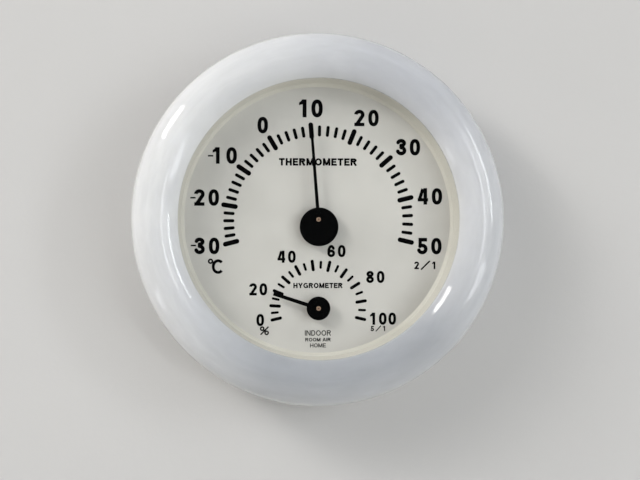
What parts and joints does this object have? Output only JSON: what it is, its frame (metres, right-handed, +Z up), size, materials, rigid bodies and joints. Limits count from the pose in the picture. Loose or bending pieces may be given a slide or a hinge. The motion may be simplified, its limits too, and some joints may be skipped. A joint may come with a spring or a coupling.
{
  "type": "dial thermo-hygrometer",
  "caption": "Round wall dial with a fat rounded rim, a large thermometer scale and pointer, a small humidity scale and pointer below it, and a keyhole back.",
  "frame": {"origin": "where the thermometer's arbor axis, which is also the case's axis, meets the wall plane at the rear edge of the rim", "axes": "+Y into the wall, so the dial faces -Y; +X to the right as the dial is read; +Z up"},
  "size_m": [0.103, 0.024, 0.103],
  "materials": {
    "ring_plastic": "glossy milky-white moulded plastic with a faint pearl swirl",
    "lens_acrylic": "clear polished acrylic",
    "spacer_plastic": "cream moulded plastic",
    "dial_print": "pearly cream lacquer with black print",
    "carrier_plastic": "natural white moulded plastic",
    "cover_plastic": "off-white moulded plastic with a fine spark texture",
    "screw_steel": "nickel-plated steel",
    "bracket_steel": "zinc-plated sheet, lightly brushed",
    "bush_brass": "turned brass",
    "regulator_brass": "stamped brass sheet",
    "bimetal_strip": "rolled two-metal strip, dull grey outside and yellowish inside",
    "humidity_strip": "thin metal strip with a baked moisture-absorbing coat",
    "collet_brass": "turned brass",
    "arbor_brass": "turned pinkish brass",
    "pointer_black": "matt black lacquer on aluminium sheet"
  },
  "bodies": {
    "case": {"case_ring": "ring_plastic", "lens": "lens_acrylic", "spacer_ring": "spacer_plastic", "dial_face": "dial_print", "dial_carrier": "carrier_plastic", "rear_cover": "cover_plastic", "cover_screws": "screw_steel", "thermo_bracket": "bracket_steel", "thermo_bracket_screws": "screw_steel", "thermo_rear_bush": "bush_brass", "thermo_front_bush": "bush_brass", "hygro_bracket": "bracket_steel", "hygro_bracket_screws": "screw_steel", "hygro_rear_bush": "bush_brass", "hygro_front_bush": "bush_brass"},
    "thermo_adjuster": {"thermo_regulator": "regulator_brass", "thermo_coil": "bimetal_strip"},
    "thermo_needle": {"thermo_arbor": "arbor_brass", "thermo_coil_collet": "collet_brass", "thermo_pointer_collet": "collet_brass", "thermo_pointer": "pointer_black"},
    "hygro_adjuster": {"hygro_regulator": "regulator_brass", "hygro_coil": "humidity_strip"},
    "hygro_needle": {"hygro_arbor": "arbor_brass", "hygro_coil_collet": "collet_brass", "hygro_pointer_collet": "collet_brass", "hygro_pointer": "pointer_black"}
  },
  "joints": [
    {"name": "thermo_zero_adjust", "type": "hinge", "parent": "case", "child": "thermo_adjuster", "pos_m": [0, -0.0052, 0], "axis": [0, 1, 0], "range_deg": [-12, 12]},
    {"name": "thermo_needle_swing", "type": "hinge", "parent": "thermo_adjuster", "child": "thermo_needle", "pos_m": [0, -0.0052, 0], "axis": [0, 1, 0], "range_deg": [-99.96, 107.64], "stiffness_Nm_per_rad": 0.0002},
    {"name": "hygro_zero_adjust", "type": "hinge", "parent": "case", "child": "hygro_adjuster", "pos_m": [0, -0.0052, -0.0246], "axis": [0, 1, 0], "range_deg": [-12, 12]},
    {"name": "hygro_needle_swing", "type": "hinge", "parent": "hygro_adjuster", "child": "hygro_needle", "pos_m": [0, -0.0052, -0.0246], "axis": [0, 1, 0], "range_deg": [-31.83, 175.37], "stiffness_Nm_per_rad": 0.0001}
  ]
}
